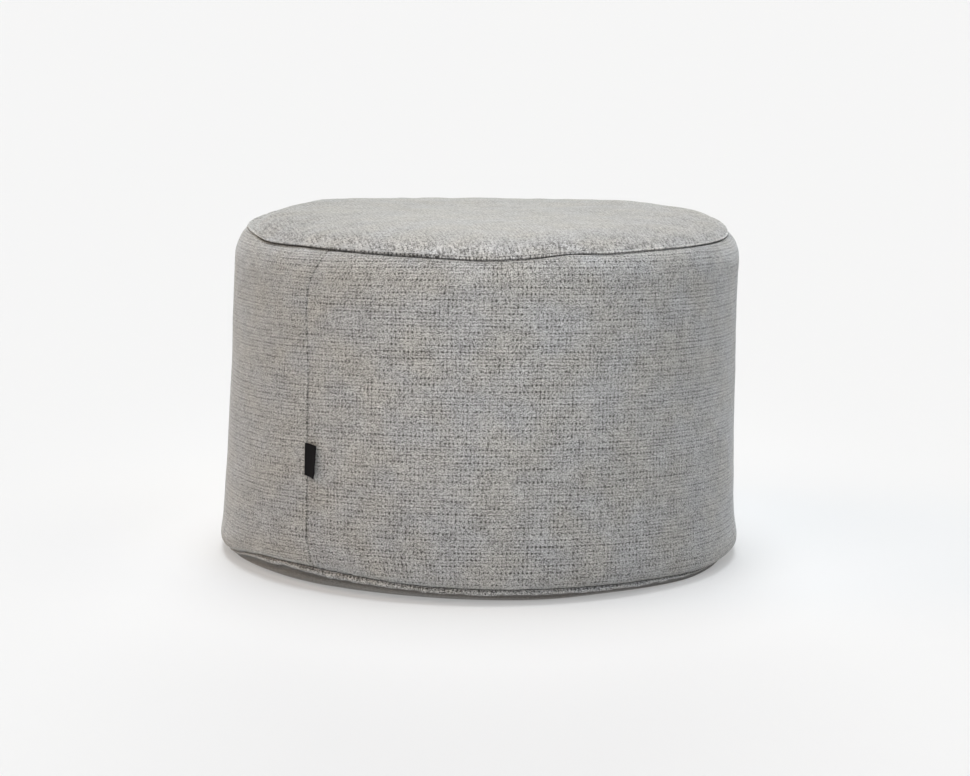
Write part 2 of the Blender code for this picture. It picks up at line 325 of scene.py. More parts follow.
def arc_lengths(points):
    """How far along each column every row lies, from the first row."""
    steps = np.linalg.norm(np.diff(points, axis=0), axis=-1)
    return np.concatenate([np.zeros((1, points.shape[1])), np.cumsum(steps, axis=0)])


def lumps(points, size, seed):
    """Soft unevenness between -1 and 1, about `size` metres across."""
    moved = Vector((seed * 7.3, seed * 3.1, seed * 5.7))
    flat = [noise.noise(Vector(point) / size + moved) for point in points.reshape(-1, 3)]
    return np.array(flat).reshape(points.shape[:-1])


def layered_lumps(points, layers, seeds):
    """Lumps of several sizes at once, from a table of sizes and heights."""
    return sum(high * lumps(points, size, round(size * seeds)) for size, high in layers)


def eased(share):
    """From 0 to 1 with a soft start and a soft end."""
    share = np.clip(share, 0, 1)
    return share * share * (3 - 2 * share)


def bell(distance, reach):
    """1 at no distance, fading away over the reach on both sides."""
    return np.exp(-(distance / reach) ** 2)


# %% [markdown]
# ## The wall
#
# The wall is one strip, closed by an upright seam at the front left. The net starts and ends at
# that seam, as the strip does, and its columns crowd together there, because the cloth turns in
# sharply. Each row leans with the seam, and the lean dies away round the drum.
#
# Three sets of rows cover the strip: a fan over the shoulder, level rows down the wall, and a fan
# under the belly. They meet the two seam lines exactly.

# %% The wall's net
SIDE_SEAM = [
    # height, azimuth
    (0.0000, -37.0), (0.0250, -37.1), (0.0370, -37.9), (0.0490, -38.7),
    (0.0680, -39.1), (0.1450, -40.1), (0.2310, -41.1), (0.2790, -41.8),
    (0.2930, -41.4), (0.3080, -40.0), (0.3272, -38.2), (0.3600, -38.2),
]
SIDE_SEAM_HOME = -40.0
SEAM_LEAN_REACH = 45.0  # degrees over which the net's lean dies away
SEAM_COLUMNS_MM = [0.0, 0.3, 0.65, 1.05, 1.55, 2.2, 3.1, 4.3]
WALL_RADIUS = 0.259
COLUMN_STEP = 0.58  # degrees, away from the seam
SHOULDER_CORE = (0.225, 0.029)  # radius, and depth under the top seam
BELLY_CORE = (0.235, 0.0155)  # radius, and height over the bottom seam
SHOULDER_ROWS = 17
SEAM_CROWDING = 1.5  # the rows crowd together towards a seam
WALL_ROWS = 92
BELLY_ROWS = 13
SEAM_SHADOW = 2.4  # degrees beside the seam that the solid's own groove spoils
RIM_LOOK, FOOT_LOOK = 0.31, 0.02  # heights at which the two round seams are looked up
ROW_SMOOTHING = 1.2  # rows


def wall_columns():
    """Azimuths from the upright seam, in degrees, from 0 to 360."""
    close = np.degrees(np.array(SEAM_COLUMNS_MM) / 1000 / WALL_RADIUS)
    count = round((360 - 2 * close[-1]) / COLUMN_STEP)
    even = np.linspace(close[-1], 360 - close[-1], count + 1)[1:-1]
    return np.concatenate([close, even, 360 - close[:0:-1]])


def seam_azimuth(height):
    """Read the seam's table along a smooth curve."""
    heights, azimuths = np.array(SIDE_SEAM).T
    slopes = np.gradient(azimuths, heights)
    index = np.clip(np.searchsorted(heights, height) - 1, 0, len(heights) - 2)
    span = heights[index + 1] - heights[index]
    t = np.clip((height - heights[index]) / span, 0, 1)
    keep = 2 * t ** 3 - 3 * t ** 2 + 1
    start = (t ** 3 - 2 * t ** 2 + t) * span * slopes[index]
    end = (t ** 3 - t ** 2) * span * slopes[index + 1]
    return keep * azimuths[index] + (1 - keep) * azimuths[index + 1] + start + end


turns = wall_columns()
from_seam = np.minimum(turns, 360 - turns)
lean_share = 1 - eased(from_seam / SEAM_LEAN_REACH)


def wall_azimuths(height):
    return SIDE_SEAM_HOME + turns + lean_share * (seam_azimuth(height) - SIDE_SEAM_HOME)


def plan_rows():
    """Each row's distance from the axis, its share of the way down and the tilt of its rays."""
    steepest = math.atan2(SHOULDER_CORE[1], TOP_SEAM_RADIUS - SHOULDER_CORE[0])
    lowest = math.atan2(-BELLY_CORE[1], BOTTOM_SEAM_RADIUS - BELLY_CORE[0])
    rows = [(SHOULDER_CORE[0], 0.0, steepest * (1 - share ** SEAM_CROWDING))
            for share in np.linspace(0, 1, SHOULDER_ROWS)]
    rows += [(SHOULDER_CORE[0] + share * (BELLY_CORE[0] - SHOULDER_CORE[0]), share, 0.0)
             for share in np.linspace(0, 1, WALL_ROWS + 2)[1:-1]]
    rows += [(BELLY_CORE[0], 1.0, lowest * (1 - share ** SEAM_CROWDING))
             for share in np.linspace(1, 0, BELLY_ROWS)]
    return rows


def aim_rays():
    """Where the rays at the wall start, and their directions."""
    starts, directions = [], []
    high = top_seam(wall_azimuths(RIM_LOOK)) - SHOULDER_CORE[1]
    low = bottom_seam(wall_azimuths(FOOT_LOOK)) + BELLY_CORE[1]
    for radius, share, tilt in plan_rows():
        height = high + share * (low - high)
        azimuth = wall_azimuths(height + math.sin(tilt) * (WALL_RADIUS - radius))
        starts.append(drum_point(azimuth, radius, height))
        directions.append(outwards(azimuth, tilt))
    return np.array(starts), np.array(directions)


wall_starts, wall_rays = aim_rays()
wall_reach = cast(side_tree, wall_starts, wall_rays)
print("The wall's net is", wall_reach.shape, "and misses the solid", np.isnan(wall_reach).sum(), "times")

# %% Fair the wall


def fair_wall(reach):
    """Bridge the solid's own seam groove, then smooth away its facets."""
    ring = np.where(turns > 180, turns - 360, turns)
    order = np.argsort(ring)
    clear = order[from_seam[order] >= SEAM_SHADOW]
    faired = []
    for row in reach:
        even = np.interp(READINGS, ring[clear], row[clear], period=360)
        even = smooth_round(even, FACET_SMOOTHING, READING_STEP)
        faired.append(np.interp(ring, READINGS, even, period=360))
    return smooth_down(np.array(faired), ROW_SMOOTHING)


wall_reach = fair_wall(wall_reach)
wall_points = wall_starts + wall_rays * wall_reach[..., None]
rim_azimuths = wall_azimuths(wall_points[0, :, 2])
foot_azimuths = wall_azimuths(wall_points[-1, :, 2])
wall_points[0] = drum_point(rim_azimuths, TOP_SEAM_RADIUS, top_seam(rim_azimuths))
wall_points[-1] = drum_point(foot_azimuths, BOTTOM_SEAM_RADIUS, bottom_seam(foot_azimuths))
print("The wall is %.1f mm across at its widest" % (1000 * np.ptp(wall_points[..., 0])))

# %% [markdown]
# ### What the filling does to the cloth
#
# Filled cloth never lies quite smooth: it bulges between its seams and draws itself into shallow
# folds. To find them, the three panels are copied into one bag and meshed again in small even
# quads. The bag is then blown up as cloth, held along its seams and where it stands on the floor.
# The bag is thrown away afterwards. What stays is how far each place moved beyond the places round
# it, and the skins of the wall and the top take on that movement.

# %% Blow up a copy of the bag
BAG_GRAIN = 0.007  # the size of its quads
BAG_PRESSURE = 4.0
BAG_SLACK = 0.004  # the cloth is cut this much too full
BAG_FRAMES = 16
HELD_BESIDE_SEAMS = 0.004
HELD_OVER_FLOOR = 0.014
FOLD_REACH = 35  # rounds of averaging that take the folds out
FOLD_LIMIT = 0.0012
FOLD_SHARE = 0.5  # the share of the movement that the skins take on


def copy_bag():
    """Join the three panels, and mesh them again in even quads."""
    joined = bmesh.new()
    for node in ("side_panel", "top_panel", "bottom_panel"):
        joined.from_mesh(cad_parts[node].data)
    mesh = bpy.data.meshes.new("bag")
    joined.to_mesh(mesh)
    joined.free()
    bag = put_in("bag", mesh)
    remesh = bag.modifiers.new("even quads", "REMESH")
    remesh.mode = "VOXEL"
    remesh.voxel_size = BAG_GRAIN
    bpy.context.view_layer.update()
    even = bpy.data.meshes.new_from_object(bag.evaluated_get(bpy.context.evaluated_depsgraph_get()))
    bag.modifiers.clear()
    bag.data = even
    return bag


def places_of(mesh):
    values = np.empty(len(mesh.vertices) * 3, np.float32)
    mesh.vertices.foreach_get("co", values)
    return values.reshape(-1, 3).astype(float)


def held_places(places):
    """The places that the seams and the floor hold still."""
    x, y, height = places[:, 0] - axis_shift(places[:, 2]), places[:, 1], places[:, 2]
    radius, azimuth = np.hypot(x, y), np.degrees(np.arctan2(x, -y))
    to_top = np.hypot(radius - TOP_SEAM_RADIUS, height - top_seam(azimuth))
    to_foot = np.hypot(radius - BOTTOM_SEAM_RADIUS, height - bottom_seam(azimuth))
    to_upright = np.radians(np.abs(azimuth - seam_azimuth(height))) * radius
    to_upright = np.where(height < top_seam(azimuth), to_upright, 1.0)
    nearest = np.minimum(np.minimum(to_top, to_foot), to_upright)
    return (nearest < HELD_BESIDE_SEAMS) | (height < HELD_OVER_FLOOR)


def blow_up(bag, held):
    """Blow the bag up as cloth, and give the places that it ends in."""
    group = bag.vertex_groups.new(name="held")
    group.add([int(place) for place in np.flatnonzero(held)], 1.0, "REPLACE")
    cloth = bag.modifiers.new("cloth", "CLOTH")
    cloth.settings.quality = 4
    cloth.settings.bending_stiffness = 0.2
    cloth.settings.use_pressure = True
    cloth.settings.uniform_pressure_force = BAG_PRESSURE
    cloth.settings.shrink_min = -BAG_SLACK
    cloth.settings.effector_weights.gravity = 0
    cloth.settings.vertex_group_mass = "held"
    cloth.point_cache.frame_start = 1
    cloth.point_cache.frame_end = BAG_FRAMES
    for number in range(1, BAG_FRAMES + 1):
        bpy.context.scene.frame_set(number)
    return places_of(bag.evaluated_get(bpy.context.evaluated_depsgraph_get()).to_mesh())


def folds_of(bag, moved):
    """How far each place moved out of the cloth beyond the average of those round it."""
    normals = np.array([vertex.normal for vertex in bag.data.vertices])
    edges = np.array([edge.vertices for edge in bag.data.edges])
    out = (moved * normals).sum(axis=1)
    joins = np.bincount(edges.ravel(), minlength=len(out))
    calm = out.copy()
    for _ in range(FOLD_REACH):
        total = np.bincount(edges[:, 0], calm[edges[:, 1]], len(out))
        total += np.bincount(edges[:, 1], calm[edges[:, 0]], len(out))
        calm = 0.5 * calm + 0.5 * total / joins
    return out, np.clip(out - calm, -FOLD_LIMIT, FOLD_LIMIT)


def find_folds():
    """A look-up of the bag's places, and how deep the folds are there."""
    bag = copy_bag()
    places = places_of(bag.data)
    held = held_places(places)
    moved = blow_up(bag, held) - places
    out, folds = folds_of(bag, moved)
    print("The bag has %d places, %d of them held, and moved %.1f mm at the most" % (
        len(places), held.sum(), 1000 * np.abs(out).max()))
    bpy.data.objects.remove(bag)
    bpy.context.scene.frame_set(1)
    lookup = KDTree(len(places))
    for index, place in enumerate(places):
        lookup.insert(place, index)
    lookup.balance()
    return lookup, folds


def folds_at(points, beside=8):
    """The folds at the places of a net, blended from the nearest places of the bag. What a whole
    row shares is no fold, so it is left out."""
    if bag_lookup is None:
        return np.zeros(points.shape[:-1])
    values = []
    for point in points.reshape(-1, 3):
        _, indices, distances = zip(*bag_lookup.find_n(Vector(point), beside))
        weights = np.exp(-0.5 * (np.array(distances) / (0.6 * BAG_GRAIN)) ** 2) + 1e-9
        values.append((bag_folds[list(indices)] * weights).sum() / weights.sum())
    folds = np.array(values).reshape(points.shape[:-1])
    return FOLD_SHARE * (folds - np.median(folds, axis=1, keepdims=True))


bag_lookup, bag_folds = find_folds()
if bag_lookup is not None:
    print("Its folds are %.2f mm deep on average" % (1000 * np.abs(bag_folds).mean()))

# %% [markdown]
# ### Puckers, beads and the upright seam
#
# Cloth eased into a round seam puckers: short folds run away from the seam and die out. The beads
# inside press the cloth out in soft lumps. The upright seam is two turned edges sewn face to face,
# so the cloth rolls into it from both sides, and each stitch pulls it in a little further.

# %% Model the wall's surface
TOP_PUCKERS = [
    # azimuth, depth mm, width mm, length mm
    (-58.0, 0.5, 4.0, 18), (-53.0, 0.7, 3.5, 24), (-47.5, 0.5, 3.5, 16), (-33.0, 0.4, 3.5, 14),
    (31.0, 0.7, 4.5, 14), (46.5, 0.9, 3.5, 16), (50.0, 0.7, 3.0, 13), (64.0, 0.4, 4.0, 16),
]
FOOT_PUCKERS = [
    (-52.0, 0.5, 5.0, 14), (-35.0, 1.0, 4.5, 26), (-32.0, 0.7, 4.0, 20), (-28.0, 0.8, 4.5, 24),
    (-20.0, 0.4, 5.0, 14), (24.0, 0.4, 5.0, 14), (52.0, 0.5, 5.0, 16),
]
PRESSES = [
    # azimuth, spread in degrees, mm down from the top seam, reach mm, depth mm
    (-86, 26, 8, 15, 1.9),
    (91, 24, 5, 9, 1.6),
    (90, 24, 27, 13, -1.1),
]
SEAM_GROOVE_DEPTH = 0.0015
SEAM_GROOVE_WIDTH = 0.0010
SEAM_GROOVE_ENDS = 0.4  # the share of its depth that is left at its two ends
STITCH_PULL = 0.15  # the share of its depth that comes and goes with the stitches
SEAM_STITCH = 0.0045  # the upright seam's stitches
DIP_WIDTH = 0.0014  # the cloth dips into the two round seams
LINE_WIDTH = 0.0008  # and shade is painted on its last thread or two, where they lie in the dark
SHADE_PAINTED_UNDER_TOP = (-5, 25, 0.009, 0.42)  # azimuth, spread, reach and strength of the shade painted on the wall under the top seam
# the shade painted on the wall just over the bottom seam, listed the same way
SHADE_PAINTED_OVER_FOOT = (48, 32, 0.016, 0.22)
EASE_DEPTH = 0.00035  # the small even puckers along both round seams
EASE_LENGTH = 0.011
EASE_SIZE, EASE_STRETCH = 0.0075, 0.25  # their size across; downwards they are four times longer
SEAM_FADE = 0.006  # what the wall's relief fades over towards its ends
BEAD_FADE = 0.008
PUCKER_FADE = 0.002
BEAD_LUMPS = [
    # size, height
    (0.060, 0.00070), (0.024, 0.00032), (0.011, 0.00014),
]


def pucker_field(azimuth, distance, puckers):
    """How deep the listed puckers press the cloth in, at a distance from their seam."""
    depth = np.zeros(distance.shape)
    for place, deep, width, length in puckers:
        across = np.radians(degrees_from(azimuth, place)) * WALL_RADIUS / (width / 2000)
        fold = bell(across, 1) - 0.45 * bell(np.abs(across) - 2.1, 1)
        depth += deep / 1000 * fold * np.exp(-2.2 * (distance / (length / 1000)) ** 2)
    return depth


def press_field(azimuth, down):
    """How far soft, broad presses take the wall in."""
    depth = np.zeros(down.shape)
    for place, spread, middle, reach, deep in PRESSES:
        across = bell(degrees_from(azimuth, place), spread)
        depth += deep / 1000 * across * bell(down - middle / 1000, reach / 1000)
    return depth


def surface_normals(points):
    """The way out of a net whose rows run down the drum. On the top they run inwards, and the way
    out is the other way."""
    down = np.gradient(points, axis=0)
    round_it = np.roll(points, -1, axis=1) - np.roll(points, 1, axis=1)
    out = np.cross(down, round_it)
    return out / np.linalg.norm(out, axis=-1, keepdims=True)


wall_down = arc_lengths(wall_points)
wall_up = wall_down[-1] - wall_down
wall_turns = np.degrees(np.arctan2(wall_points[..., 0] - axis_shift(wall_points[..., 2]),
                                   -wall_points[..., 1]))


def fade_to_ends(reach):
    return eased(wall_down / reach) * eased(wall_up / reach)


def model_wall():
    side = np.radians(from_seam) * WALL_RADIUS
    stitch = 1 - STITCH_PULL * (1 - np.cos(2 * np.pi * wall_down / SEAM_STITCH))
    groove = SEAM_GROOVE_DEPTH * np.exp(-side / SEAM_GROOVE_WIDTH) * stitch
    dip = round_table(rim_azimuths, top_dip) * bell(wall_down, DIP_WIDTH)
    dip += round_table(foot_azimuths, bottom_dip) * bell(wall_up, DIP_WIDTH)
    ends = SEAM_GROOVE_ENDS + (1 - SEAM_GROOVE_ENDS) * fade_to_ends(SEAM_FADE)
    relief = -groove * ends - dip / 1000
    relief -= press_field(wall_turns, wall_down) * eased(wall_down / SEAM_FADE)
    for away, puckers in ((wall_down, TOP_PUCKERS), (wall_up, FOOT_PUCKERS)):
        relief -= pucker_field(wall_turns, away, puckers) * eased(away / PUCKER_FADE)
    beads = folds_at(wall_points) + layered_lumps(wall_points, BEAD_LUMPS, 1000)
    relief += beads * fade_to_ends(BEAD_FADE)
    ease = lumps(wall_points * np.array((1, 1, EASE_STRETCH)), EASE_SIZE, 3)
    relief += EASE_DEPTH * ease * (bell(wall_down, EASE_LENGTH) + bell(wall_up, EASE_LENGTH))
    return wall_points + surface_normals(wall_points) * relief[..., None]


wall_surface = model_wall()

# %% Lay the wall's cloth
WALL_LEVEL = 0.17  # the height at which the cloth's rows are level all round
ROW_SAG = 0.013  # the rows hang this much lower at the drum's sides
GATHER_PLACE = (-33.0, 6.5, 0.028)  # azimuth, spread, and height over the bottom seam
GATHER_WAVE, GATHER_LENGTH = 0.0013, 0.012
STITCHES_FROM, STITCHES_OVER = 0.08, 0.10  # how far down the painted shade of the upright seam's stitches grows to full strength
STITCHES_FAINT = 0.55  # the share of that painted shade above there
HIDDEN_DEPTH, HIDDEN_RISE = 0.006, 0.0012  # how the cloth turns in behind a round seam


def wall_flat():
    """Where each place of the net lies on the flat strip."""
    along = np.radians(np.append(turns, 360)) * WALL_RADIUS
    level = np.array([np.interp(-WALL_LEVEL, -column, down) for column, down
                      in zip(wall_points[..., 2].T, wall_down.T)])
    up = level - wall_down + ROW_SAG * np.sin(np.radians(wall_turns)) ** 2
    place, spread, reach = GATHER_PLACE
    gathered = bell(wall_turns - place, spread) * bell(wall_up, reach)
    up += GATHER_WAVE * gathered * np.sin(2 * np.pi * along[:-1] / GATHER_LENGTH)
    return pair(along, closed(up))


def wall_seam():
    """How far along the upright seam each place lies, and how far round from it."""
    return pair(closed(wall_down), np.radians(np.append(from_seam, 0)) * WALL_RADIUS)


def wall_shade():
    """The shade painted where the wall goes into its two round seams and in bands beside them, and how
    plain the upright seam's stitches and their painted shade are.
    """
    deep = round_table(rim_azimuths, slit_shade) * bell(wall_down, LINE_WIDTH)
    deep += round_table(foot_azimuths, bottom_shade) * bell(wall_up, LINE_WIDTH)
    for darkening, away in ((SHADE_PAINTED_UNDER_TOP, wall_down), (SHADE_PAINTED_OVER_FOOT, wall_up)):
        place, spread, reach, shade = darkening
        across = degrees_from(wall_turns, place) / spread
        deep += shade * np.exp(-across ** 4) * bell(away, reach)
    grown = eased((wall_down - STITCHES_FROM) / STITCHES_OVER)
    return closed(pair(deep, STITCHES_FAINT + (1 - STITCHES_FAINT) * grown))


def with_hidden_ends(rows):
    """Repeat the first and the last row, for the cloth that turns in behind its seams."""
    return np.concatenate([rows[:1], rows, rows[-1:]])


wall_net = with_hidden_ends(wall_surface)
for row, azimuths, rise in ((0, rim_azimuths, -HIDDEN_RISE), (-1, foot_azimuths, HIDDEN_RISE)):
    wall_net[row] -= outwards(azimuths) * HIDDEN_DEPTH
    wall_net[row, :, 2] += rise
wall = make_skin("wall_cloth", wall_net, *map(with_hidden_ends, (wall_flat(), wall_seam(), wall_shade())))

# %% [markdown]
# ## The top
#
# The top is a round cut a little full, so it domes over the beads. Its edge is turned over the seam
# and topstitched: a narrow rolled rim, a line of stitches, then the dome. The rim is modelled
# row by row with the cross-section of a turned edge, and the dome is read from the solid. All the
# way round, the edge blends between four cross-sections: where the top hangs straight over its
# seam (tight), where the turned edge stands up behind the seam and its stitches sink in (banded),
# where it slopes up to a plain row of stitches (sloped), and where it rolls out in a thin ridge
# (rolled).

# %% The top's net
ROUND_STEP = 0.5  # degrees between the columns of both rounds
OPEN_SLIT = 0.3  # the painted slit shade from which the edge stands fully open
SLIT_DEPTH = (0.1, 2.4)  # mm that the edge goes in behind its seam: closed, and how much more when open
# each edge: outwards mm, upwards mm, painted shade (below 0, a painted highlight on the ridge)
TIGHT_EDGE = [
    (-2.4, -0.60, 1.0), (-2.1, 0.00, 1.0), (-1.8, 0.50, 1.0), (-1.2, 1.00, 1.0),
    (-0.4, 1.30, 0.7), (0.0, 1.55, 0.2), (0.1, 1.80, 0.0), (-0.1, 2.10, 0.0),
    (-0.6, 2.35, 0.0), (-1.4, 2.55, 0.0), (-2.4, 2.70, 0.0), (-3.6, 2.80, 0.0),
]
BANDED_EDGE = [
    (-2.0, -0.60, 1.0), (-1.7, -0.10, 1.0), (-1.3, 0.30, 1.0), (-1.0, 0.70, 0.8),
    (-0.8, 1.10, 0.5), (-0.7, 1.50, 0.4), (-0.7, 1.90, 0.4), (-0.7, 2.30, 0.4),
    (-0.7, 2.80, 0.5), (-0.9, 3.40, 0.4), (-1.7, 3.90, 0.1), (-3.2, 4.10, 0.0),
]
SLOPED_EDGE = [
    (-1.8, -0.50, 1.0), (-1.4, -0.10, 1.0), (-0.9, 0.30, 1.0), (-0.4, 0.65, 0.8),
    (-0.2, 1.00, 0.3), (-0.4, 1.60, 0.0), (-1.1, 2.50, 0.0), (-2.1, 3.40, 0.0),
    (-2.8, 3.62, 0.0), (-3.5, 3.80, 0.0), (-4.2, 3.90, 0.0), (-5.0, 4.00, 0.0),
]
ROLLED_EDGE = [
    (-1.8, -0.50, 1.0), (-1.4, -0.10, 1.0), (-0.8, 0.30, 0.9), (0.0, 0.60, 0.6),
    (0.6, 0.95, 0.0), (0.9, 1.40, -0.4), (0.8, 1.90, -0.6), (0.3, 2.40, -0.6),
    (-0.6, 2.60, -0.3), (-1.7, 2.10, 0.1), (-2.6, 1.80, 0.1), (-3.8, 1.95, 0.0),
]
STITCH_ROW = 14  # the row of the turned edge that is sewn down
DOME_BLEND = 0.009
DOME_ROWS = 74
DOME_CROWDING = 1.35  # the rows crowd together towards the edge
DOME_CENTRE_GAP = 0.004
DOME_STEP = (0.0009, 0.0001)  # from the edge's last row, inwards and up
DOME_SMOOTHING = 1.6  # rows

round_turns = np.arange(0, 360, ROUND_STEP) + SIDE_SEAM_HOME


def rounded(profile):
    """A profile with a place between every two, on a smooth line through them."""
    places = np.array(profile)
    padded = np.concatenate([places[:1], places, places[-1:]])
    between = (9 * (padded[1:-2] + padded[2:-1]) - padded[:-3] - padded[3:]) / 16
    finer = np.empty((2 * len(places) - 1, 3))
    finer[0::2], finer[1::2] = places, between
    return finer


EDGES = [rounded(edge) for edge in (TIGHT_EDGE, BANDED_EDGE, SLOPED_EDGE, ROLLED_EDGE)]
EDGE_ROWS = len(EDGES[0])


def edge_place(row, azimuth):
    """How far outwards and up from the seam a row of the turned edge lies, and how much shade is painted
    on it (below 0, a painted highlight).
    """
    shares = [round_table(azimuth, share) for share in (edge_tight, edge_banded, edge_sloped)]
    shares.append(1 - shares[0] - shares[1] - shares[2])
    out, up, dark = (sum(share * edge[row][k] for share, edge in zip(shares, EDGES)) for k in range(3))
    if row < STITCH_ROW:
        open_slit = eased(round_table(azimuth, slit_shade) / OPEN_SLIT)
        out = np.maximum(out, -SLIT_DEPTH[0] - SLIT_DEPTH[1] * open_slit)
    return out / 1000, up / 1000, dark


def top_net():
    height = top_seam(round_turns)
    rows = []
    for row in range(EDGE_ROWS):
        out, up, _ = edge_place(row, round_turns)
        rows.append(drum_point(round_turns, TOP_SEAM_RADIUS + out, height + up))
    outer = TOP_SEAM_RADIUS + out - DOME_STEP[0]
    shares = 1 - np.linspace(0, 1, DOME_ROWS) ** DOME_CROWDING
    starts = np.array([drum_point(round_turns, np.maximum(share * outer, DOME_CENTRE_GAP),
                                  np.full(len(round_turns), OVER_DOME)) for share in shares])
    fall = smooth_round(cast(top_tree, starts, np.array((0, 0, -1))), FACET_SMOOTHING, ROUND_STEP)
    dome = OVER_DOME - smooth_down(fall, DOME_SMOOTHING)
    inside = (1 - shares)[:, None] * outer
    lift = rows[-1][:, 2] + DOME_STEP[1] - dome[0]
    starts[..., 2] = dome + lift * bell(inside, DOME_BLEND)
    return np.concatenate([np.array(rows), starts])


top_points = top_net()
print("The top rises to %.1f mm" % (1000 * top_points[..., 2].max()))

# %% Model the top's surface
TOP_LUMPS = [
    # size, height
    (0.070, 0.00110), (0.028, 0.00042), (0.012, 0.00016),
]
TOP_EASE = 0.0004
EDGE_FOLD = (-80.0, 9.0, 0.0045, 0.0020, 0.0013)  # azimuth, spread, inside the edge, width, height
TOP_FULLNESS = [
    # x, y, reach, height
    (0.19, 0.02, 0.080, 0.0010),
    (0.16, 0.13, 0.055, 0.0019),
    (-0.17, 0.11, 0.060, 0.0007),
]
EASE_REACH = 0.012  # how far inside the stitches the small even puckers run
EASE_GRAIN = (0.24, 8, 0.009)  # metres round, how much shorter they are inwards, and their size
FULLNESS_FADE = 0.02

inward = arc_lengths(top_points)
from_stitches = inward - inward[STITCH_ROW]


def model_top():
    on_dome = eased(from_stitches / EASE_REACH)
    relief = on_dome * (folds_at(top_points) - layered_lumps(top_points, TOP_LUMPS, 900))
    turn = np.radians(round_turns)
    scale, shorter, size = EASE_GRAIN
    radial = np.stack(np.broadcast_arrays(np.sin(turn), np.cos(turn), from_stitches * shorter), axis=-1)
    relief -= TOP_EASE * lumps(radial * scale, size, 5) * bell(from_stitches, EASE_REACH)
    for x, y, reach, high in TOP_FULLNESS:
        away = np.hypot(top_points[..., 0] - x, top_points[..., 1] - y)
        relief += high * bell(away, reach) * eased(from_stitches / FULLNESS_FADE)
    place, spread, inside, width, height = EDGE_FOLD
    fold = bell(degrees_from(round_turns, place), spread)
    relief += height * fold * bell(from_stitches - inside, width)
    return top_points - surface_normals(top_points) * relief[..., None]


top_surface = model_top()

# %% Lay the top's cloth
TOP_GRAIN = math.radians(12)  # the round was sewn on with its rows a little askew
TOP_FAN = 0.22  # and its grain spreads towards the front right
TOP_CUT = (0.7, 0.4)  # where its middle lies on the flat cloth


def top_flat():
    x, y = top_points[..., 0], top_points[..., 1]
    along = x * math.cos(TOP_GRAIN) + y * math.sin(TOP_GRAIN) - TOP_FAN * x * y
    across = y * math.cos(TOP_GRAIN) - x * math.sin(TOP_GRAIN)
    return closed(pair(along + TOP_CUT[0], across + TOP_CUT[1]))


def along_round(radius, home=0.0):
    """How far round its seam every column of a round lies, and its first column again."""
    return np.radians(np.append(round_turns, round_turns[0] + 360) - home) * radius


def top_shade():
    """The shade painted deep in the seam and the highlight painted on the rolled ridge at each place, and
    how plain its stitches and their painted hole shade are.
    """
    shade = np.zeros(top_points.shape[:2])
    for row in range(EDGE_ROWS):
        dark = edge_place(row, round_turns)[2]
        # shade is painted where dark is above 0, scaled by the slit's painted shade; below 0 it paints a
        # highlight
        shade[row] = dark * np.where(dark > 0, round_table(round_turns, slit_shade), 1)
    return closed(pair(shade, round_table(round_turns, stitches_shown)))


top_sewing = pair(along_round(TOP_SEAM_RADIUS, SIDE_SEAM_HOME), closed(from_stitches))
top = make_skin("top_cloth", top_surface, top_flat(), top_sewing, top_shade())

# %% [markdown]
# ## The underside
#
# The bottom round is sewn to the wall with a rolled edge that shows under the bottom seam. Below
# the roll the cloth turns in and down to the flat patch that the footstool stands on.

# %% The underside's net
ROLL_RADII = (0.0033, 0.0029)
ROLL_CENTRE = (0.0006, -0.0027)  # from the bottom seam
ROLL_ROWS = 14
ROLL_START, ROLL_END = 110.0, -150.0  # degrees
ROLL_SWELL = [
    # share, size of the swelling, where it is read
    (0.30, 0.020, 11),
    (0.20, 0.009, 12),
]
ROLL_CLOTH = 0.011  # how much cloth goes round the roll
UNDERTURN = (0.2512, 0.2200, 26)  # from this radius to that, in so many rows
SWELL_RADIUS = 0.25
BOTTOM_CUT = 0.9  # where its middle lies on the flat cloth
SHADE_ROWS = (1.3, 2.2, 0.8)  # how many rows the painted shade reaches at the wall and underneath, and how dark it is underneath


def bottom_net():
    height = bottom_seam(round_turns)
    ring = drum_point(round_turns, SWELL_RADIUS, height)
    swell = 1 + sum(share * lumps(ring, size, seed) for share, size, seed in ROLL_SWELL)
    swell = swell * round_table(round_turns, roll_size)
    rows = []
    for angle in np.radians(np.linspace(ROLL_START, ROLL_END, ROLL_ROWS)):
        out = ROLL_CENTRE[0] + ROLL_RADII[0] * math.cos(angle) * swell
        up = ROLL_CENTRE[1] + ROLL_RADII[1] * (math.sin(angle) - 1) * swell + ROLL_RADII[1]
        rows.append(drum_point(round_turns, BOTTOM_SEAM_RADIUS + out, height + up))
    starts = np.array([drum_point(round_turns, radius, np.zeros(len(round_turns)))
                       for radius in np.linspace(*UNDERTURN)])
    starts[..., 2] = BELOW
    rise = cast(bottom_tree, starts, np.array((0, 0, 1))) + BELOW
    starts[..., 2] = np.maximum(smooth_round(rise, FACET_SMOOTHING, ROUND_STEP), 0)
    return np.concatenate([np.array(rows), starts])


bottom_surface = bottom_net()


def bottom_flat():
    """The roll's rows run along the seam, and the round itself lies flat."""
    flat = closed(bottom_surface[..., :2] + BOTTOM_CUT)
    across = np.linspace(0, ROLL_CLOTH, ROLL_ROWS)[:, None]
    flat[:ROLL_ROWS] = pair(along_round(BOTTOM_SEAM_RADIUS), across)
    return flat


def bottom_shade_map():
    """Shade is painted on the roll where it meets the wall and where it turns under."""
    row = np.arange(len(bottom_surface))[:, None]
    at_wall, beneath, shade = SHADE_ROWS
    dark = bell(row, at_wall) * round_table(round_turns, bottom_shade)
    return closed(pair(dark + bell(row - ROLL_ROWS + 1, beneath) * shade, 0.0))


